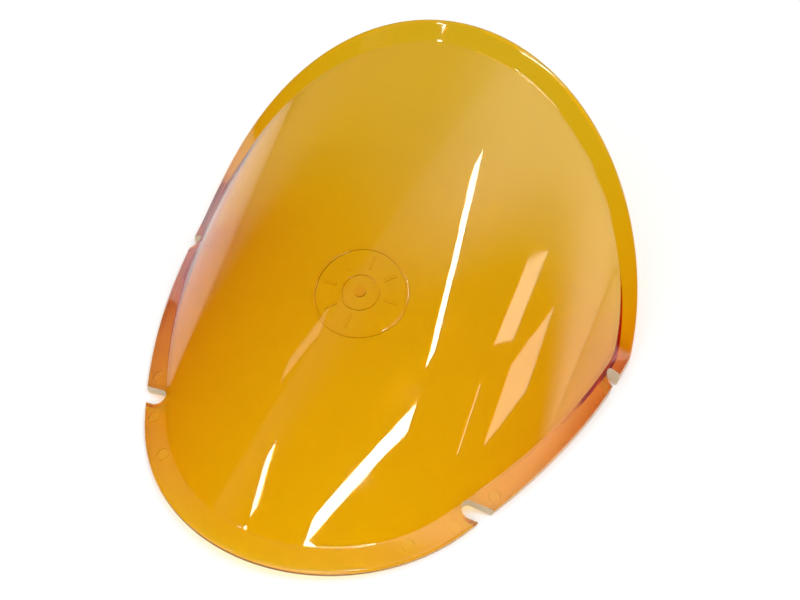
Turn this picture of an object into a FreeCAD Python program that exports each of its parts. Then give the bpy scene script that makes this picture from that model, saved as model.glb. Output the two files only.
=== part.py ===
import FreeCAD, Part
import math
import os
import Sketcher

# One injection-moulded amber lens: an arched, egg-shaped shell with a flared flange all round.
#
# Two frames are used.
#   Arch frame (everything is drawn here): X across, Y along the axis of the arch towards the
#   wide end, Z up through the crown. The origin is the centre of the wide half circle, on the
#   crown plane. The arch is a circular cylinder whose axis runs along Y, below the crown.
#   Part frame (what is written out): the arch frame tipped about X and lifted, so that the
#   lens sits on its two flanks with the narrow end low, as it rests on a flat table.

Vector = FreeCAD.Vector
Rotation = FreeCAD.Rotation
Placement = FreeCAD.Placement

SIZES = [
    ("crown_drop", 107.0, "crown plane down to the axis of the arch"),
    ("rim_arch_radius", 107.0, "arch radius at the top edge of the rim"),
    ("dome_arch_radius", 104.0, "arch radius of the outer face of the dome"),
    ("wall", 2.5, "wall thickness of dome and flange"),
    ("rim_narrow_radius", 75.6, "rim outline: radius of the narrow end"),
    ("rim_narrow_reach", 131.0, "rim outline: origin to the tip of the narrow end"),
    ("rim_side_radius", 262.0, "rim outline: radius of the long sides"),
    ("rim_corner_radius", 19.0, "rim outline: radius of the shoulders"),
    ("rim_wide_radius", 100.5, "rim outline: radius of the wide end"),
    ("rim_wide_reach", 100.5, "rim outline: origin to the tip of the wide end"),
    ("rim_half_width", 100.0, "rim outline: half of the widest width"),
    ("crease_narrow_radius", 66.5, "crease outline: radius of the narrow end"),
    ("crease_narrow_reach", 121.3, "crease outline: origin to the tip of the narrow end"),
    ("crease_side_radius", 262.0, "crease outline: radius of the long sides"),
    ("crease_corner_radius", 30.0, "crease outline: radius of the shoulders"),
    ("crease_wide_radius", 94.2, "crease outline: radius of the wide end"),
    ("crease_wide_reach", 90.8, "crease outline: origin to the tip of the wide end"),
    ("crease_half_width", 93.6, "crease outline: half of the widest width"),
    ("crease_fillet", 3.0, "fillet in the crease, on the outer face and on the underside"),
    ("rim_fillet", 1.2, "rounding of the top edge of the rim"),
    ("draw_tilt", 27.28, "mould draw direction, from Z towards the wide end, degrees"),
    ("notch_width", 6.4, "width of the four notches, square to the draw direction"),
    ("notch_reach", 30.0, "how far a notch cutter runs outwards past its round end"),
    ("flank_notch_x", 96.7, "flank notches: middle of the round end, across"),
    ("flank_notch_y", 24.9, "flank notches: middle of the round end, along the draw plane"),
    ("flank_notch_turn", 20.0, "flank notches: turn in the draw plane, degrees"),
    ("front_notch_x", 65.0, "front notches: middle of the round end, across"),
    ("front_notch_y", -62.4, "front notches: middle of the round end, along the draw plane"),
    ("front_notch_turn", 13.0, "front notches: turn in the draw plane, degrees"),
    ("pin_mark_radius", 2.5, "ejector-pin marks: radius"),
    ("pin_mark_depth", 0.25, "ejector-pin marks: depth into the underside of the flange"),
    ("mark_y", -22.8, "crown mark: centre along the arch"),
    ("mark_height", 0.35, "crown mark: height above the dome"),
    ("mark_ring_outer", 18.6, "crown mark: outer radius of the ring"),
    ("mark_ring_inner", 17.4, "crown mark: inner radius of the ring"),
    ("mark_dot_outer", 7.6, "crown mark: outer radius of the small ring"),
    ("mark_dot_inner", 6.8, "crown mark: inner radius of the small ring"),
    ("mark_root", 5.2, "crown mark: depth of its root below the crown plane, inside the wall"),
    ("tick_start", 9.8, "crown mark: centre to the start of a tick"),
    ("tick_length", 5.4, "crown mark: length of a tick"),
    ("tick_width", 1.0, "crown mark: width of a tick"),
    ("gate_radius", 2.3, "gate vestige: radius"),
    ("gate_height", 0.8, "gate vestige: height above the dome"),
    ("rest_tilt", 27.28, "tip about X from arch frame to part frame, degrees"),
    ("origin_x", 0.0, "arch origin in the part frame"),
    ("origin_y", 12.675, "arch origin in the part frame"),
    ("origin_z", 65.556, "arch origin in the part frame"),
]

# Centres of the ejector-pin marks on one side, in plan in the arch frame.
PIN_MARKS = [
    ("flank", 95.2, -12.5),
    ("shoulder", 70.5, -74.5),
    ("cheek", 62.0, -91.0),
    ("nose", 49.5, -104.5),
]

doc = FreeCAD.newDocument("lens")
sheet = doc.addObject("Spreadsheet::Sheet", "sizes")
for row, (alias, value, note) in enumerate(SIZES, start=1):
    sheet.set("A%d" % row, note)
    sheet.set("B%d" % row, str(value))
    sheet.setAlias("B%d" % row, alias)
doc.recompute()


def size(alias):
    return float(sheet.get(alias))


def bind(obj, target, alias):
    obj.setExpression(target, "sizes." + alias)


def direction(start, end):
    return math.atan2(end.y - start.y, end.x - start.x)


def egg_centres(prefix):
    """Centres of the narrow, right side, right shoulder and wide arcs of an outline."""
    narrow = Vector(0, size(prefix + "narrow_radius") - size(prefix + "narrow_reach"), 0)
    wide = Vector(0, size(prefix + "wide_reach") - size(prefix + "wide_radius"), 0)
    inset = size(prefix + "half_width") - size(prefix + "corner_radius")
    slack = size(prefix + "wide_radius") - size(prefix + "corner_radius")
    corner = Vector(inset, wide.y + math.sqrt(slack ** 2 - inset ** 2), 0)
    to_narrow = size(prefix + "side_radius") - size(prefix + "narrow_radius")
    to_corner = size(prefix + "side_radius") - size(prefix + "corner_radius")
    gap = corner.sub(narrow)
    reach = (to_narrow ** 2 - to_corner ** 2 + gap.Length ** 2) / (2 * gap.Length)
    rise = math.sqrt(to_narrow ** 2 - reach ** 2)
    step = Vector(gap).normalize()
    side = narrow + step * reach + Vector(-step.y, step.x, 0) * rise
    return narrow, side, corner, wide


def egg_sketch(name, prefix):
    """Closed outline of six tangent arcs, the same on both sides of the Y axis."""
    sketch = doc.addObject("Sketcher::SketchObject", name)
    narrow, side, corner, wide = egg_centres(prefix)
    a_narrow = direction(side, narrow)
    a_side = direction(side, corner)
    a_corner = direction(wide, corner)
    half = math.pi
    arcs = [
        (narrow, "narrow_radius", -half - a_narrow, a_narrow),
        (side, "side_radius", a_narrow, a_side),
        (corner, "corner_radius", a_side, a_corner),
        (wide, "wide_radius", a_corner, half - a_corner),
        (Vector(-corner.x, corner.y, 0), "corner_radius", half - a_corner, half - a_side),
        (Vector(-side.x, side.y, 0), "side_radius", half - a_side, half - a_narrow),
    ]
    for centre, radius, start, end in arcs:
        circle = Part.Circle(centre, Vector(0, 0, 1), size(prefix + radius))
        sketch.addGeometry(Part.ArcOfCircle(circle, start, end), False)
    for index in range(6):
        after = (index + 1) % 6
        sketch.addConstraint(Sketcher.Constraint("Tangent", index, 2, after, 1))
    for index, radius in ((0, "narrow_radius"), (1, "side_radius"), (2, "corner_radius"),
                          (3, "wide_radius")):
        bound = sketch.addConstraint(Sketcher.Constraint("Radius", index, size(prefix + radius)))
        sketch.renameConstraint(bound, radius)
        bind(sketch, "Constraints." + radius, prefix + radius)
    sketch.addConstraint(Sketcher.Constraint("Equal", 2, 4))
    sketch.addConstraint(Sketcher.Constraint("Equal", 1, 5))
    sketch.addConstraint(Sketcher.Constraint("PointOnObject", 0, 3, -2))
    sketch.addConstraint(Sketcher.Constraint("PointOnObject", 3, 3, -2))
    drop = "(sizes.%snarrow_reach - sizes.%snarrow_radius)" % (prefix, prefix)
    lift = "(sizes.%swide_reach - sizes.%swide_radius)" % (prefix, prefix)
    inset = "sizes.%shalf_width - sizes.%scorner_radius" % (prefix, prefix)
    for label, kind, ends, value, formula in (
            ("narrow_centre", "DistanceY", (0, 3, -1, 1), -narrow.y, drop),
            ("centre_gap", "DistanceY", (0, 3, 3, 3), wide.y - narrow.y, drop + " + " + lift),
            ("right_inset", "DistanceX", (-1, 1, 2, 3), corner.x, inset),
            ("left_inset", "DistanceX", (4, 3, -1, 1), corner.x, inset)):
        bound = sketch.addConstraint(Sketcher.Constraint(kind, *ends, value))
        sketch.renameConstraint(bound, label)
        sketch.setExpression("Constraints." + label, formula)
    return sketch


def outline_wire(sketch):
    return Part.Wire(Part.__sortEdges__(sketch.Shape.Edges))


def arch_face(radius, sketch):
    """The piece of the arch cylinder of this radius that lies inside the outline."""
    reach = 2 * size("rim_narrow_reach")
    foot = radius * math.cos(math.radians(5))
    low = radius * math.sin(math.radians(5)) - size("crown_drop")
    hoop = Part.Arc(Vector(-foot, -reach, low),
                    Vector(0, -reach, radius - size("crown_drop")),
                    Vector(foot, -reach, low))
    cylinder = hoop.toShape().extrude(Vector(0, 2 * reach, 0))
    outline = outline_wire(sketch)
    outline.translate(Vector(0, 0, size("wall")))
    column = Part.Face(outline).extrude(Vector(0, 0, -size("crown_drop")))
    return cylinder.common(column).Faces[0]


def strip(first, second):
    """Ruled faces that join two outlines, arc by arc."""
    return [Part.makeRuledSurface(*pair) for pair in zip(first.Edges, second.Edges)]


def flared_shell(rim, crease):
    """Dome inside the crease and a flange that rises from the crease to the rim."""
    wall = size("wall")
    rim_top = arch_face(size("rim_arch_radius"), rim).OuterWire
    rim_low = arch_face(size("rim_arch_radius") - wall, rim).OuterWire
    dome_top = arch_face(size("dome_arch_radius"), crease)
    dome_low = arch_face(size("dome_arch_radius") - wall, crease)
    faces = [dome_top, dome_low]
    faces += strip(dome_top.OuterWire, rim_top)
    faces += strip(dome_low.OuterWire, rim_low)
    faces += strip(rim_top, rim_low)
    skin = Part.makeShell(faces)
    skin.sewShape()
    # A second shell from the sewn faces keeps every normal pointing out of the material.
    return Part.makeSolid(Part.makeShell(Part.makeSolid(skin).Faces))


def arch_distance(point):
    return math.hypot(point.x, point.z + size("crown_drop"))


def edges_at(shape, radius):
    """Names of the edges along the arch cylinder of this radius, outside the crown mark."""
    crown = Vector(0, size("mark_y"), 0)
    names = []
    for index, edge in enumerate(shape.Edges, start=1):
        params = [edge.FirstParameter, edge.LastParameter, sum(edge.ParameterRange) / 2]
        points = [edge.valueAt(param) for param in params]
        on_arch = all(abs(arch_distance(point) - radius) < 2e-3 for point in points)
        far = all(point.sub(crown).Length > size("crease_narrow_radius") for point in points)
        if on_arch and far:
            names.append("Edge%d" % index)
    return names


# Outlines of the rim and of the crease, drawn on the crown plane.
rim_sketch = egg_sketch("rim_outline", "rim_")
crease_sketch = egg_sketch("crease_outline", "crease_")
doc.recompute()

# The blank: ruled strips between curves on two cylinders, which no feature makes.
blank = doc.addObject("Part::Feature", "blank")
blank.Shape = flared_shell(rim_sketch, crease_sketch)


def disc(name, radius_alias):
    """Upright cylinder at the crown mark, rooted inside the wall of the dome."""
    column = doc.addObject("Part::Cylinder", name)
    bind(column, "Radius", radius_alias)
    column.setExpression("Height", "sizes.mark_root")
    bind(column, "Placement.Base.y", "mark_y")
    column.setExpression("Placement.Base.z", "-1 * sizes.mark_root")
    return column


def ring(name, outer_alias, inner_alias):
    cut = doc.addObject("Part::Cut", name)
    cut.Base = disc(name + "_outer", outer_alias)
    cut.Tool = disc(name + "_inner", inner_alias)
    return cut


def tick(name, turn):
    """Short radial bar between the two rings."""
    bar = doc.addObject("Part::Box", name)
    bind(bar, "Length", "tick_length")
    bind(bar, "Width", "tick_width")
    bind(bar, "Height", "mark_root")
    out = Rotation(Vector(0, 0, 1), turn)
    corner = out.multVec(Vector(size("tick_start"), -size("tick_width") / 2, 0))
    bar.Placement = Placement(corner + Vector(0, size("mark_y"), -size("mark_root")), out)
    return bar


# Crown mark: two plain rings with short ticks between them, and the stub of the gate.
relief = doc.addObject("Part::MultiFuse", "mark_columns")
ticks = [tick("tick_%d" % (step + 1), 45 * step) for step in range(8)]
relief.Shapes = [ring("ring_large", "mark_ring_outer", "mark_ring_inner"),
                 ring("ring_small", "mark_dot_outer", "mark_dot_inner")] + ticks
skin_limit = doc.addObject("Part::Cylinder", "mark_skin")
skin_limit.setExpression("Radius", "sizes.dome_arch_radius + sizes.mark_height")
skin_limit.setExpression("Height", "2 * sizes.rim_narrow_reach")
skin_limit.Placement = Placement(
    Vector(0, size("rim_narrow_reach"), -size("crown_drop")), Rotation(Vector(1, 0, 0), 90))
mark = doc.addObject("Part::Common", "crown_mark")
mark.Base = relief
mark.Tool = skin_limit
gate = doc.addObject("Part::Cylinder", "gate_stub")
bind(gate, "Radius", "gate_radius")
gate.setExpression("Height", "sizes.mark_root - sizes.crown_drop + sizes.dome_arch_radius"
                             " + sizes.gate_height")
bind(gate, "Placement.Base.y", "mark_y")
gate.setExpression("Placement.Base.z", "-1 * sizes.mark_root")

moulding = doc.addObject("Part::MultiFuse", "moulding")
moulding.Shapes = [blank, mark, gate]
doc.recompute()

# Body of the lens, with the moulding as its base.
lens = doc.addObject("PartDesign::Body", "signal_lens")
lens.Label = "signal_lens"
lens.BaseFeature = moulding
doc.recompute()


def origin_plane(role):
    return [item for item in lens.Origin.OriginFeatures if item.Role == role][0]


def check_cut(feature, before):
    """A cut that points away from the solid reports no error, so the volumes are compared."""
    if feature.Shape.Volume > before - 1.0:
        raise RuntimeError("%s removed nothing" % feature.Name)


def fillet(name, radius_alias, arch_radius):
    base = lens.Tip
    feature = lens.newObject("PartDesign::Fillet", name)
    feature.Base = (base, edges_at(base.Shape, arch_radius))
    bind(feature, "Radius", radius_alias)
    doc.recompute()
    return feature


def notch(prefix):
    """A U-shaped slot through the flange, cut along the draw direction, on both sides."""
    sketch = lens.newObject("Sketcher::SketchObject", prefix + "notch_outline")
    sketch.AttachmentSupport = (origin_plane("XY_Plane"), [""])
    sketch.MapMode = "FlatFace"
    sketch.setExpression("AttachmentOffset.Rotation.Angle", "-1 * sizes.draw_tilt")
    sketch.AttachmentOffset = Placement(Vector(0, 0, 0), Rotation(Vector(1, 0, 0), -size("draw_tilt")))
    turn = math.radians(size(prefix + "notch_turn"))
    radius = size("notch_width") / 2
    centre = Vector(size(prefix + "notch_x"), size(prefix + "notch_y"), 0)
    out = Vector(math.cos(turn), math.sin(turn), 0) * size("notch_reach")
    across = Vector(-math.sin(turn), math.cos(turn), 0) * radius
    circle = Part.Circle(centre, Vector(0, 0, 1), radius)
    sketch.addGeometry(Part.ArcOfCircle(circle, turn + math.pi / 2, turn + 3 * math.pi / 2), False)
    sketch.addGeometry(Part.LineSegment(centre - across, centre - across + out), False)
    sketch.addGeometry(Part.LineSegment(centre - across + out, centre + across + out), False)
    sketch.addGeometry(Part.LineSegment(centre + across + out, centre + across), False)
    sketch.addConstraint(Sketcher.Constraint("Tangent", 0, 2, 1, 1))
    sketch.addConstraint(Sketcher.Constraint("Coincident", 1, 2, 2, 1))
    sketch.addConstraint(Sketcher.Constraint("Coincident", 2, 2, 3, 1))
    sketch.addConstraint(Sketcher.Constraint("Tangent", 3, 2, 0, 1))
    sketch.addConstraint(Sketcher.Constraint("Perpendicular", 1, 2))
    sketch.addConstraint(Sketcher.Constraint("Parallel", 1, 3))
    drives = [
        ("DistanceX", (-1, 1, 0, 3), centre.x, "sizes.%snotch_x" % prefix),
        ("Distance", (1,), out.Length, "sizes.notch_reach"),
        ("Distance", (2,), 2 * radius, "sizes.notch_width"),
        ("Angle", (-1, 1), turn, "sizes.%snotch_turn * 1 deg" % prefix),
    ]
    if centre.y > 0:
        drives.append(("DistanceY", (-1, 1, 0, 3), centre.y, "sizes.%snotch_y" % prefix))
    else:
        drives.append(("DistanceY", (0, 3, -1, 1), -centre.y, "-1 * sizes.%snotch_y" % prefix))
    for kind, ends, value, formula in drives:
        bound = sketch.addConstraint(Sketcher.Constraint(kind, *ends, value))
        sketch.setExpression("Constraints[%d]" % bound, formula)
    before = lens.Shape.Volume
    pocket = lens.newObject("PartDesign::Pocket", prefix + "notch")
    pocket.Profile = sketch
    pocket.Type = "ThroughAll"
    doc.recompute()
    check_cut(pocket, before)
    mirrored = lens.newObject("PartDesign::Mirrored", prefix + "notch_pair")
    mirrored.Originals = [pocket]
    mirrored.MirrorPlane = (origin_plane("YZ_Plane"), [""])
    lens.Tip = mirrored
    doc.recompute()
    check_cut(mirrored, pocket.Shape.Volume)


def pin_mark(name, x, y):
    """Shallow round sink that an ejector pin leaves, square to the underside of the flange."""
    out = Vector(x, 0, math.sqrt(size("rim_arch_radius") ** 2 - x ** 2)).normalize()
    axis = Vector(0, y, -size("crown_drop"))
    needle = Part.makeLine(axis, axis + out * (size("rim_arch_radius") + size("wall")))
    inside = needle.common(blank.Shape)
    point = min((vertex.Point for vertex in inside.Vertexes), key=arch_distance)
    face = min(blank.Shape.Faces, key=lambda item: item.distToShape(Part.Vertex(point))[0])
    away = face.normalAt(*face.Surface.parameter(point))
    before = lens.Shape.Volume
    sink = lens.newObject("PartDesign::SubtractiveCylinder", name)
    bind(sink, "Radius", "pin_mark_radius")
    sink.setExpression("Height", "sizes.wall + sizes.pin_mark_depth")
    turn = Rotation(Vector(0, 0, 1), away * -1)
    sink.Placement = Placement(point + away * size("wall"), turn)
    doc.recompute()
    check_cut(sink, before)


fillet("crease_rounding", "crease_fillet", size("dome_arch_radius"))
fillet("crease_under_rounding", "crease_fillet", size("dome_arch_radius") - size("wall"))
fillet("rim_rounding", "rim_fillet", size("rim_arch_radius"))
notch("flank_")
notch("front_")
for label, x, y in PIN_MARKS:
    pin_mark("pin_mark_%s_right" % label, x, y)
    pin_mark("pin_mark_%s_left" % label, -x, y)

# Rest pose: tipped about X and lifted onto the table.
lens.Placement = Placement(
    Vector(size("origin_x"), size("origin_y"), size("origin_z")),
    Rotation(Vector(1, 0, 0), size("rest_tilt")))
doc.recompute()

for item in doc.Objects:
    if "Invalid" in item.State or "Error" in item.State:
        raise RuntimeError("%s did not compute: %s" % (item.Name, item.State))
if lens.Shape.isNull() or not lens.Shape.isValid():
    raise RuntimeError("the lens is not a valid shape")
if len(lens.Shape.Solids) != 1:
    raise RuntimeError("the lens is not one solid")

os.makedirs("parts", exist_ok=True)
lens.Shape.exportStep("parts/signal_lens.step")
print("signal_lens volume mm3", round(lens.Shape.Volume, 1), lens.Shape.BoundBox)
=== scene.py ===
import math

import bmesh
import bpy
from mathutils import Matrix, Vector


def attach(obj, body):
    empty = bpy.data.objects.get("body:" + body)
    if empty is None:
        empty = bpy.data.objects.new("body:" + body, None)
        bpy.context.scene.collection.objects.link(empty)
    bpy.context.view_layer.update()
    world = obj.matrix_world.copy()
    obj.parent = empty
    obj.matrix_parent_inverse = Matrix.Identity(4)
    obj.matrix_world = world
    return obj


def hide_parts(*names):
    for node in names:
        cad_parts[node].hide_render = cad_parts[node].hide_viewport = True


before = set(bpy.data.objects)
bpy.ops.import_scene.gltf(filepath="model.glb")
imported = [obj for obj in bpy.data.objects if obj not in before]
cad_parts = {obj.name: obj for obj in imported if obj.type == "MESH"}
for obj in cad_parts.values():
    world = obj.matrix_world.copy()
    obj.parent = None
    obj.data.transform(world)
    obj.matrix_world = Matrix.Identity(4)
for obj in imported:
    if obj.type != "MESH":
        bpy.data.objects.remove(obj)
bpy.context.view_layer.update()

# ---------------------------------------------------------------------------
# Sizes of the lens, in millimetres, in the arch frame: X across, Y along the
# axis of the arch towards the wide end, Z up through the crown.
# ---------------------------------------------------------------------------
CROWN_DROP = 107.0
RIM_ARCH = 107.0
DOME_ARCH = 104.0
WALL = 2.5
RIM = {"narrow": 75.6, "reach": 131.0, "side": 262.0, "corner": 19.0,
       "wide": 100.5, "wide_reach": 100.5, "half_width": 100.0}
CREASE = {"narrow": 66.5, "reach": 121.3, "side": 262.0, "corner": 30.0,
          "wide": 94.2, "wide_reach": 90.8, "half_width": 93.6}
ARC_STEPS = (96, 96, 12, 150)
CREASE_FILLET = 3.0
RIM_FILLET = 1.2
FOOT_FILLET = 0.15
MARK_Y = -22.8
MARK_HEIGHT = 0.35
DRAW_TILT = math.radians(27.28)
REST_SHIFT = Vector((0.0, 12.675, 65.556))
NOTCH_RADIUS = 3.2
NOTCHES = ((96.7, 24.9, 20.0), (65.0, -62.4, 13.0))
PIN_MARKS = ((95.2, -12.5), (70.5, -74.5), (62.0, -91.0), (49.5, -104.5))
PIN_RADIUS = 2.5
PIN_DEPTH = 0.25
NOTCH_REACH = 30.0
NOTCH_SPAN = (-20.0, 40.0)
TICK_START = 9.8
TICK_LENGTH = 5.4
TICK_WIDTH = 1.0
TICK_ROOT = 1.0
TICK_COUNT = 8
TICK_STEPS = 6
MM = 0.001

ARCH_TO_REST = Matrix.Translation(REST_SHIFT) @ Matrix.Rotation(DRAW_TILT, 4, "X")


# ---------------------------------------------------------------------------
# Outline of the lens: tangent arcs, one half from the narrow tip to the wide tip.
# ---------------------------------------------------------------------------
def arc_points(centre, radius, start, end, steps):
    turns = [start + (end - start) * step / steps for step in range(steps)]
    return [Vector((centre.x + radius * math.cos(a), centre.y + radius * math.sin(a))) for a in turns]


def heading(start, end):
    return math.atan2(end.y - start.y, end.x - start.x)


def egg(spec):
    """Points round the whole outline, starting at the narrow tip and going right."""
    narrow = Vector((0.0, spec["narrow"] - spec["reach"]))
    wide = Vector((0.0, spec["wide_reach"] - spec["wide"]))
    inset = spec["half_width"] - spec["corner"]
    slack = spec["wide"] - spec["corner"]
    corner = Vector((inset, wide.y + math.sqrt(slack ** 2 - inset ** 2)))
    to_narrow = spec["side"] - spec["narrow"]
    to_corner = spec["side"] - spec["corner"]
    gap = corner - narrow
    reach = (to_narrow ** 2 - to_corner ** 2 + gap.length ** 2) / (2 * gap.length)
    rise = math.sqrt(to_narrow ** 2 - reach ** 2)
    step = gap.normalized()
    side = narrow + step * reach + Vector((-step.y, step.x)) * rise
    a_narrow = heading(side, narrow)
    a_side = heading(side, corner)
    a_corner = heading(wide, corner)
    half = arc_points(narrow, spec["narrow"], -math.pi / 2, a_narrow, ARC_STEPS[0])
    half += arc_points(side, spec["side"], a_narrow, a_side, ARC_STEPS[1])
    half += arc_points(corner, spec["corner"], a_side, a_corner, ARC_STEPS[2])
    half += arc_points(wide, spec["wide"], a_corner, math.pi / 2, ARC_STEPS[3])
    half.append(Vector((0.0, wide.y + spec["wide"])))
    mirrored = [Vector((-p.x, p.y)) for p in reversed(half[1:-1])]
    return half + mirrored


def on_arch(plan, radius):
    height = math.sqrt(radius ** 2 - plan.x ** 2) - CROWN_DROP
    return Vector((plan.x, plan.y, height))


def arch_tangent(point, plan_step):
    slope = -point.x / (point.z + CROWN_DROP)
    return Vector((plan_step.x, plan_step.y, slope * plan_step.x)).normalized()


def rounded(corner, into, out, radius, steps):
    """Arc that replaces a corner between two unit directions."""
    bend = into.angle(out)
    start = corner - into * radius * math.tan(bend / 2)
    across = (out - into * math.cos(bend)).normalized()
    turns = [bend * step / steps for step in range(steps + 1)]
    return [start + radius * (into * math.sin(a) + across * (1 - math.cos(a))) for a in turns]


def between(start, end, steps):
    return [start.lerp(end, step / steps) for step in range(1, steps)]


# Crown mark on the outer face, as (radius, height): gate stub, small ring, large ring.
# Its first point is the edge of the top pole, its last the start of the plain dome.
MARK_PROFILE = (
    (0.7, 0.80), (1.5, 0.80), (2.15, 0.80), (2.28, 0.70), (2.32, 0.0),
    (2.8, 0.0), (4.5, 0.0), (6.0, 0.0), (6.75, 0.0), (6.82, 0.30), (6.90, MARK_HEIGHT),
    (7.50, MARK_HEIGHT), (7.58, 0.30), (7.65, 0.0), (8.6, 0.0), (10.2, 0.0), (12.0, 0.0),
    (13.8, 0.0), (15.6, 0.0), (16.8, 0.0), (17.35, 0.0), (17.42, 0.30), (17.5, MARK_HEIGHT),
    (18.50, MARK_HEIGHT), (18.58, 0.30), (18.65, 0.0), (20.0, 0.0),
)
UNDER_RINGS = (20.0, 14.0, 9.0, 4.0)
# Steps along a section of the wall, and the row where the outer edge of the rim starts.
DOME_STEPS = 40
CREASE_STEPS = 5
FLANGE_STEPS = 8
RIM_STEPS = 7
EDGE_STEPS = 5
FOOT_STEPS = 2
EDGE_START = len(MARK_PROFILE) + DOME_STEPS + CREASE_STEPS + FLANGE_STEPS + RIM_STEPS - 1
EDGE_SLOT = 1
POLE_FACES = 2


def column(crease, rim, turn):
    """Section of the wall from the crown mark out over the rim and back underneath."""
    plan_step = (rim - crease).normalized()
    spoke = Vector((math.cos(turn), math.sin(turn)))
    middle = Vector((0.0, MARK_Y))
    dome_top = on_arch(crease, DOME_ARCH)
    rim_top = on_arch(rim, RIM_ARCH)
    rim_low = on_arch(rim, RIM_ARCH - WALL)
    dome_low = on_arch(crease, DOME_ARCH - WALL)
    down = Vector((0.0, 0.0, -1.0))
    up_flange = (rim_top - dome_top).normalized()
    back = (dome_low - rim_low).normalized()
    crease_arc = rounded(dome_top, arch_tangent(dome_top, plan_step), up_flange,
                         CREASE_FILLET, CREASE_STEPS)
    rim_arc = rounded(rim_top, up_flange, down, RIM_FILLET, RIM_STEPS)
    foot_arc = rounded(rim_low, down, back, FOOT_FILLET, FOOT_STEPS)
    under_arc = rounded(dome_low, back, -arch_tangent(dome_low, plan_step),
                        CREASE_FILLET, CREASE_STEPS)
    points = []
    for radius, height in MARK_PROFILE:
        base = on_arch(middle + spoke * radius, DOME_ARCH)
        lift = Vector((base.x, 0.0, base.z + CROWN_DROP)).normalized()
        points.append(base + lift * height)
    inner = middle + spoke * MARK_PROFILE[-1][0]
    outer = Vector((crease_arc[0].x, crease_arc[0].y))
    points += [on_arch(plan, DOME_ARCH) for plan in between(inner, outer, DOME_STEPS)]
    points += crease_arc
    points += between(crease_arc[-1], rim_arc[0], FLANGE_STEPS)
    points += rim_arc
    points += between(rim_arc[-1], foot_arc[0], EDGE_STEPS)
    points += foot_arc
    points += between(foot_arc[-1], under_arc[0], FLANGE_STEPS)
    points += under_arc
    outer = Vector((under_arc[-1].x, under_arc[-1].y))
    inner = middle + spoke * UNDER_RINGS[0]
    points += [on_arch(plan, DOME_ARCH - WALL) for plan in between(outer, inner, DOME_STEPS)]
    points += [on_arch(middle + spoke * radius, DOME_ARCH - WALL) for radius in UNDER_RINGS]
    return points


def to_metres(point):
    return (ARCH_TO_REST @ point) * MM


def shell_mesh():
    """Closed shell: one section per outline point, joined all round, with two poles."""
    middle = Vector((0.0, MARK_Y))
    sections = []
    for crease, rim in zip(egg(CREASE), egg(RIM)):
        sections.append(column(crease, rim, heading(middle, crease)))
    rows = len(sections[0])
    count = len(sections)
    verts = [to_metres(point) for section in sections for point in section]
    verts.append(to_metres(on_arch(middle, DOME_ARCH + MARK_PROFILE[0][1])))
    verts.append(to_metres(on_arch(middle, DOME_ARCH - WALL)))
    top_pole = count * rows
    low_pole = top_pole + 1
    faces = []
    for index in range(count):
        here = index * rows
        after = ((index + 1) % count) * rows
        faces.append((top_pole, here, after))
        faces.append((low_pole, after + rows - 1, here + rows - 1))
        for row in range(rows - 1):
            faces.append((here + row, here + row + 1, after + row + 1, after + row))
    mesh = bpy.data.meshes.new("lens_moulding")
    mesh.from_pydata(verts, [], faces)
    for index in range(count):
        first = index * (rows - 1 + POLE_FACES) + POLE_FACES + EDGE_START
        for step in range(EDGE_STEPS):
            mesh.polygons[first + step].material_index = EDGE_SLOT
    return mesh


# ---------------------------------------------------------------------------
# Tools that cut or add: notches, ejector-pin sinks and the ticks of the crown mark.
# ---------------------------------------------------------------------------
def prism(bm, outline, low, high):
    """Closed prism between two copies of an outline."""
    bottom = [bm.verts.new(low(point)) for point in outline]
    top = [bm.verts.new(high(point)) for point in outline]
    bm.faces.new(list(reversed(bottom)))
    bm.faces.new(top)
    for index in range(len(outline)):
        after = (index + 1) % len(outline)
        bm.faces.new((bottom[index], bottom[after], top[after], top[index]))


def object_from(bm, name):
    mesh = bpy.data.meshes.new(name)
    bmesh.ops.recalc_face_normals(bm, faces=bm.faces)
    bm.to_mesh(mesh)
    bm.free()
    obj = bpy.data.objects.new(name, mesh)
    bpy.context.collection.objects.link(obj)
    return obj


def notch_tool():
    """Four U-shaped prisms that stand straight up and down in the rest pose."""
    bm = bmesh.new()
    for x, y, turn in NOTCHES:
        centre = Vector((x, y + REST_SHIFT.y))
        angle = math.radians(turn)
        out = Vector((math.cos(angle), math.sin(angle)))
        across = Vector((-out.y, out.x)) * NOTCH_RADIUS
        sweep = [math.pi / 2 + math.pi * step / 32 for step in range(33)]
        outline = [centre + (out * math.cos(a) * NOTCH_RADIUS + across * math.sin(a)) for a in sweep]
        outline += [centre - across + out * NOTCH_REACH, centre + across + out * NOTCH_REACH]
        for side in (1, -1):
            points = [Vector((side * p.x, p.y)) for p in outline]
            prism(bm, points,
                  lambda p: Vector((p.x, p.y, NOTCH_SPAN[0])) * MM,
                  lambda p: Vector((p.x, p.y, NOTCH_SPAN[1])) * MM)
    return object_from(bm, "notch_tool")


def flange_frame(x, y, rims, creases):
    """Point and outward normal on the underside of the flange, above a place in plan."""
    plan = Vector((x, y))
    gaps = [(rim - plan).length + (crease - plan).length for rim, crease in zip(rims, creases)]
    nearest = gaps.index(min(gaps))
    inner = on_arch(creases[nearest], DOME_ARCH - WALL)
    outer = on_arch(rims[nearest], RIM_ARCH - WALL)
    share = (plan - creases[nearest]).length / (rims[nearest] - creases[nearest]).length
    point = inner.lerp(outer, share)
    before = on_arch(rims[nearest - 1], RIM_ARCH - WALL)
    after = on_arch(rims[nearest + 1], RIM_ARCH - WALL)
    normal = (after - before).cross(outer - inner).normalized()
    if normal.dot(Vector((point.x, 0.0, point.z + CROWN_DROP))) > 0:
        normal = -normal
    return point, normal


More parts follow.
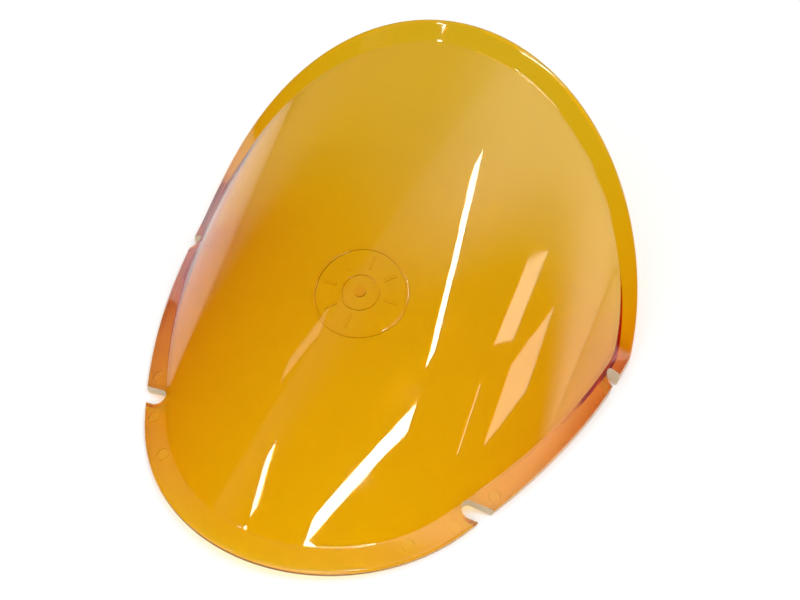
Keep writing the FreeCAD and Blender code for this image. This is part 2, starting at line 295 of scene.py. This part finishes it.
def pin_tool():
    """Discs that sink into the underside of the flange, in mirrored pairs."""
    bm = bmesh.new()
    rims = egg(RIM)[:sum(ARC_STEPS)]
    creases = egg(CREASE)[:sum(ARC_STEPS)]
    for x, y in PIN_MARKS:
        point, normal = flange_frame(x, y, rims, creases)
        first = normal.orthogonal().normalized()
        second = normal.cross(first)
        turns = [math.tau * step / 40 for step in range(40)]
        ring = [point + PIN_RADIUS * (first * math.cos(a) + second * math.sin(a)) for a in turns]
        for side in (1, -1):
            flip = Matrix.Diagonal((side, 1.0, 1.0, 1.0))
            prism(bm, ring,
                  lambda p: to_metres(flip @ (p + normal * WALL)),
                  lambda p: to_metres(flip @ (p - normal * PIN_DEPTH)))
    return object_from(bm, "pin_tool")


def tick_tool():
    """Eight short bars between the rings, each following the curve of the dome."""
    bm = bmesh.new()
    middle = Vector((0.0, MARK_Y))
    pitch = TICK_LENGTH / TICK_STEPS
    for step in range(TICK_COUNT):
        angle = step * math.tau / TICK_COUNT
        out = Vector((math.cos(angle), math.sin(angle)))
        across = Vector((-out.y, out.x)) * TICK_WIDTH / 2
        spine = [middle + out * (TICK_START + pitch * k) for k in range(TICK_STEPS + 1)]
        low = []
        top = []
        for place in spine:
            pair = (place + across, place - across)
            low.append([bm.verts.new(to_metres(on_arch(p, DOME_ARCH - TICK_ROOT))) for p in pair])
            top.append([bm.verts.new(to_metres(on_arch(p, DOME_ARCH + MARK_HEIGHT))) for p in pair])
        for k in range(TICK_STEPS):
            bm.faces.new((top[k][0], top[k + 1][0], top[k + 1][1], top[k][1]))
            bm.faces.new((low[k][1], low[k + 1][1], low[k + 1][0], low[k][0]))
            bm.faces.new((low[k][0], low[k + 1][0], top[k + 1][0], top[k][0]))
            bm.faces.new((low[k + 1][1], low[k][1], top[k][1], top[k + 1][1]))
        bm.faces.new((low[0][1], low[0][0], top[0][0], top[0][1]))
        bm.faces.new((low[-1][0], low[-1][1], top[-1][1], top[-1][0]))
    return object_from(bm, "tick_tool")


def combine(target, tool, operation):
    """Join or cut with a tool; the new faces keep the material of the tool."""
    modifier = target.modifiers.new(tool.name, "BOOLEAN")
    modifier.operation = operation
    modifier.solver = "MANIFOLD"
    modifier.material_mode = "TRANSFER"
    modifier.object = tool
    bpy.context.view_layer.objects.active = target
    bpy.ops.object.modifier_apply(modifier=modifier.name)
    bpy.data.objects.remove(tool)


# ---------------------------------------------------------------------------
# Amber plastic: a clear skin over an absorbing dye
# ---------------------------------------------------------------------------
REFRACTIVE_INDEX = 1.58
DYE_COLOUR = (0.987, 0.869, 0.0, 1.0)
DYE_DENSITY = 1840.0
# Shadow-ray tints, lighter low down and darker higher up: painted shade on the light let through the
# lens.
SHADE_LOW = (0.72, 0.98, 1.0, 1.0)
SHADE_HIGH = (0.65, 0.76, 0.85, 1.0)
LENS_HEIGHT = 0.11
SHARP_ANGLE = math.radians(32)


def amber_plastic(name, gloss, low_tint_painted_lighter, high_tint_painted_darker, haze_range):
    """Dyed clear plastic; gloss is the share of light that isn't scattered by a frosted skin."""
    material = bpy.data.materials.new(name)
    material.use_nodes = True
    nodes = material.node_tree.nodes
    link = material.node_tree.links.new
    nodes.clear()
    output = nodes.new("ShaderNodeOutputMaterial")
    shader = nodes.new("ShaderNodeBsdfPrincipled")
    shader.inputs["Transmission Weight"].default_value = gloss
    shader.inputs["IOR"].default_value = REFRACTIVE_INDEX

    place = nodes.new("ShaderNodeTexCoord")
    # Base colour: the plastic's own tint plus painted shade that darkens it with height, from the
    # narrow end low down up to the wide end.
    axes = nodes.new("ShaderNodeSeparateXYZ")
    link(place.outputs["Object"], axes.inputs["Vector"])
    height = nodes.new("ShaderNodeMapRange")
    height.inputs["From Min"].default_value = 0.0
    height.inputs["From Max"].default_value = LENS_HEIGHT
    link(axes.outputs["Z"], height.inputs["Value"])
    skin = nodes.new("ShaderNodeMixRGB")
    skin.inputs["Color1"].default_value = low_tint_painted_lighter
    skin.inputs["Color2"].default_value = high_tint_painted_darker
    link(height.outputs["Result"], skin.inputs["Fac"])
    link(skin.outputs["Color"], shader.inputs["Base Color"])

    # Slow waves of the moulded skin.
    waves = nodes.new("ShaderNodeTexNoise")
    waves.inputs["Scale"].default_value = 28.0
    waves.inputs["Detail"].default_value = 2.0
    link(place.outputs["Object"], waves.inputs["Vector"])
    wave_bump = nodes.new("ShaderNodeBump")
    wave_bump.inputs["Strength"].default_value = 0.05
    wave_bump.inputs["Distance"].default_value = 0.001
    link(waves.outputs["Fac"], wave_bump.inputs["Height"])
    link(wave_bump.outputs["Normal"], shader.inputs["Normal"])

    # Handling haze: faint smudges raise the roughness here and there.
    smudge = nodes.new("ShaderNodeTexNoise")
    smudge.inputs["Scale"].default_value = 60.0
    smudge.inputs["Detail"].default_value = 6.0
    link(place.outputs["Object"], smudge.inputs["Vector"])
    haze = nodes.new("ShaderNodeMapRange")
    haze.inputs["From Min"].default_value = 0.45
    haze.inputs["From Max"].default_value = 0.75
    haze.inputs["To Min"].default_value = haze_range[0]
    haze.inputs["To Max"].default_value = haze_range[1]
    link(smudge.outputs["Fac"], haze.inputs["Value"])
    link(haze.outputs["Result"], shader.inputs["Roughness"])

    # Lamps shine through: shadow rays pass straight, and the depth of plastic dyes them. The shade
    # mix also lets less light through higher up, which paints extra shade under and behind the lens.
    path = nodes.new("ShaderNodeLightPath")
    clear = nodes.new("ShaderNodeBsdfTransparent")
    shade = nodes.new("ShaderNodeMixRGB")
    shade.inputs["Color1"].default_value = SHADE_LOW
    shade.inputs["Color2"].default_value = SHADE_HIGH
    link(height.outputs["Result"], shade.inputs["Fac"])
    link(shade.outputs["Color"], clear.inputs["Color"])
    mix = nodes.new("ShaderNodeMixShader")
    link(path.outputs["Is Shadow Ray"], mix.inputs["Fac"])
    link(shader.outputs["BSDF"], mix.inputs[1])
    link(clear.outputs["BSDF"], mix.inputs[2])
    link(mix.outputs["Shader"], output.inputs["Surface"])

    dye = nodes.new("ShaderNodeVolumeAbsorption")
    dye.inputs["Color"].default_value = DYE_COLOUR
    dye.inputs["Density"].default_value = DYE_DENSITY
    link(dye.outputs["Volume"], output.inputs["Volume"])
    return material


# The polished skin, the duller outer edge of the rim, and the frosted faces of the notches; in each,
# the second tint is painted shade that darkens the top.
amber = amber_plastic("amber_plastic", 1.0, (0.84, 0.97, 1.0, 1.0), (0.71, 0.74, 1.0, 1.0),
                      (0.02, 0.07))
amber_edge = amber_plastic("amber_edge", 0.6, (0.85, 0.50, 0.10, 1.0), (0.72, 0.42, 0.10, 1.0),
                           (0.15, 0.30))
amber_cut = amber_plastic("amber_cut", 0.55, (0.95, 0.74, 0.45, 1.0), (0.90, 0.68, 0.40, 1.0),
                          (0.30, 0.45))
lens = bpy.data.objects.new("lens_moulding", shell_mesh())
bpy.context.collection.objects.link(lens)
lens.data.materials.append(amber)
lens.data.materials.append(amber_edge)
notches = notch_tool()
notches.data.materials.append(amber_cut)
ticks = tick_tool()
ticks.data.materials.append(amber)
pins = pin_tool()
pins.data.materials.append(amber)
combine(lens, ticks, "UNION")
combine(lens, notches, "DIFFERENCE")
combine(lens, pins, "DIFFERENCE")
lens.data.shade_smooth()
lens.data.set_sharp_from_angle(angle=SHARP_ANGLE)
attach(lens, "root")
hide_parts("signal_lens")


# ---------------------------------------------------------------------------
# Stage: floor, lights, camera
# ---------------------------------------------------------------------------
FLOOR_HALF_SIDE = 6.0
FLOOR_DROP = 0.0002
LENS_MIDDLE = Vector((0.0, 0.0, 0.06))


def floor():
    bm = bmesh.new()
    bmesh.ops.create_grid(bm, x_segments=40, y_segments=40, size=FLOOR_HALF_SIDE)
    obj = object_from(bm, "floor")
    obj.location.z = -FLOOR_DROP
    material = bpy.data.materials.new("pale_floor")
    material.use_nodes = True
    shader = material.node_tree.nodes["Principled BSDF"]
    shader.inputs["Base Color"].default_value = (0.86, 0.86, 0.86, 1.0)
    shader.inputs["Roughness"].default_value = 0.9
    shader.inputs["Specular IOR Level"].default_value = 0.1
    obj.data.materials.append(material)


def area_light(name, origin, long_side, short_side, radiance):
    """Rectangular soft light of a given radiance, from one corner and its two sides."""
    long_side = Vector(long_side)
    short_side = Vector(short_side)
    middle = Vector(origin) + (long_side + short_side) / 2
    light = bpy.data.lights.new(name, "AREA")
    light.shape = "RECTANGLE"
    light.size = long_side.length
    light.size_y = short_side.length
    light.energy = radiance * math.pi * light.size * light.size_y
    obj = bpy.data.objects.new(name, light)
    across = long_side.normalized()
    up = short_side.normalized()
    away = across.cross(up)
    if away.dot(middle - LENS_MIDDLE) < 0:
        across = -across
        away = -away
    obj.matrix_world = Matrix((
        (across.x, up.x, away.x, middle.x),
        (across.y, up.y, away.y, middle.y),
        (across.z, up.z, away.z, middle.z),
        (0.0, 0.0, 0.0, 1.0)))
    bpy.context.collection.objects.link(obj)


def strip(name, start, end, width, radiance):
    """Tube light between two points, its flat side to the lens."""
    start = Vector(start)
    along = Vector(end) - start
    sight = (start + along / 2 - LENS_MIDDLE).normalized()
    side = sight.cross(along).normalized() * width
    area_light(name, start - side / 2, along, side, radiance)


floor()

# Tubes on the ceiling draw the bright streaks along the dome.
strip("strip_right", (0.24, 0.027, 1.2), (0.59, -0.21, 1.2), 0.035, 24.0)
strip("strip_front", (0.66, -0.29, 1.2), (0.12, -0.53, 1.2), 0.045, 26.0)
strip("strip_left", (-0.58, -0.42, 1.2), (-0.50, -0.52, 1.2), 0.035, 22.0)
strip("strip_faint", (-0.56, -0.215, 1.2), (-0.80, -0.28, 1.2), 0.04, 1.3)
strip("strip_thin", (1.26, -0.05, 1.05), (1.30, -0.144, 0.97), 0.012, 6.0)
# Two panes of a window at the right, mirrored low on the flank of the dome.
area_light("pane_high", (1.5, 0.03, 1.30), (0.0, 0.07, -0.30), (0.0, 0.17, 0.09), 4.0)
area_light("pane_low", (1.5, 0.0, 0.78), (0.0, 0.22, -0.25), (0.0, 0.12, 0.11), 3.0)
# The key stands behind the camera, so the shadow of the lens falls behind the lens.
area_light("key", (-0.35, -1.60, 1.00), (1.60, 0.0, 0.0), (0.0, 0.55, 0.75), 4.6)
area_light("fill_back", (-1.0, 1.70, 0.35), (2.0, 0.0, 0.0), (0.0, -0.30, 0.80), 1.0)
area_light("key_left", (-1.60, -0.95, 0.55), (1.10, -0.95, 0.0), (0.20, 0.25, 0.80), 1.8)


def math_node(nodes, link, operation, first, second):
    node = nodes.new("ShaderNodeMath")
    node.operation = operation
    for socket, value in zip(node.inputs, (first, second)):
        if isinstance(value, float):
            socket.default_value = value
        else:
            link(value, socket)
    return node.outputs["Value"]


def soft_step(nodes, link, value, edge, low, high):
    node = nodes.new("ShaderNodeMapRange")
    node.interpolation_type = "SMOOTHSTEP"
    node.inputs["From Min"].default_value = edge[0]
    node.inputs["From Max"].default_value = edge[1]
    node.inputs["To Min"].default_value = low
    node.inputs["To Max"].default_value = high
    link(value, node.inputs["Value"])
    return node.outputs["Result"]


def room():
    """Dim room with a soft bright band across the ceiling, brightest to the right."""
    world = bpy.data.worlds.new("studio")
    bpy.context.scene.world = world
    world.use_nodes = True
    nodes = world.node_tree.nodes
    link = world.node_tree.links.new
    place = nodes.new("ShaderNodeTexCoord")
    axes = nodes.new("ShaderNodeSeparateXYZ")
    link(place.outputs["Generated"], axes.inputs["Vector"])
    # The band runs from side to side and bows towards the back at both ends.
    bow = math_node(nodes, link, "MULTIPLY", axes.outputs["X"], axes.outputs["X"])
    bow = math_node(nodes, link, "MULTIPLY", bow, -0.42)
    behind = math_node(nodes, link, "ADD", axes.outputs["Y"], bow)
    veil = soft_step(nodes, link, behind, (-0.17, -0.05), 0.0, 1.0)
    band = soft_step(nodes, link, behind, (0.03, 0.16), 1.0, 0.25)
    veil = math_node(nodes, link, "MULTIPLY", veil, band)
    rightward = soft_step(nodes, link, axes.outputs["X"], (-0.35, 0.40), 0.32, 1.5)
    glow = math_node(nodes, link, "MULTIPLY", veil, rightward)
    # A line across the ceiling, crisp on its left side and soft on its right.
    slant = math_node(nodes, link, "MULTIPLY", axes.outputs["Y"], -2.46)
    slant = math_node(nodes, link, "ADD", axes.outputs["X"], slant)
    crisp = soft_step(nodes, link, slant, (-0.06, 0.01), 0.0, 1.0)
    fading = soft_step(nodes, link, slant, (0.0, 0.45), 0.22, 0.0)
    line = math_node(nodes, link, "MULTIPLY", crisp, fading)
    glow = math_node(nodes, link, "ADD", glow, line)
    glow = math_node(nodes, link, "ADD", glow, 0.02)
    # Matt surfaces get even light, and the room looks pale where it is seen directly.
    path = nodes.new("ShaderNodeLightPath")
    even = math_node(nodes, link, "MULTIPLY", path.outputs["Is Diffuse Ray"], 0.6)
    seen = math_node(nodes, link, "MAXIMUM", path.outputs["Is Camera Ray"],
                     path.outputs["Is Transmission Ray"])
    pale = math_node(nodes, link, "MULTIPLY", seen, 0.75)
    glow = math_node(nodes, link, "MAXIMUM", glow, even)
    glow = math_node(nodes, link, "MAXIMUM", glow, pale)
    back = nodes["Background"]
    back.inputs["Color"].default_value = (0.96, 0.97, 1.0, 1.0)
    link(glow, back.inputs["Strength"])


room()

CAMERA_PLACE = Vector((0.12313, -0.33348, 0.37202))
CAMERA_AIM = Vector((0.01121, 0.00903, 0.0400))
CAMERA_ROLL = math.radians(5.475)

camera_data = bpy.data.cameras.new("camera")
camera_data.sensor_width = 36.0
camera_data.lens = 56.25
camera_data.clip_start = 0.01
camera_data.clip_end = 50.0
camera = bpy.data.objects.new("camera", camera_data)
turn = (CAMERA_AIM - CAMERA_PLACE).to_track_quat("-Z", "Y").to_matrix().to_4x4()
roll = Matrix.Rotation(CAMERA_ROLL, 4, "Z")
camera.matrix_world = Matrix.Translation(CAMERA_PLACE) @ turn @ roll
bpy.context.collection.objects.link(camera)
bpy.context.scene.camera = camera
bpy.context.scene.view_settings.view_transform = "Standard"
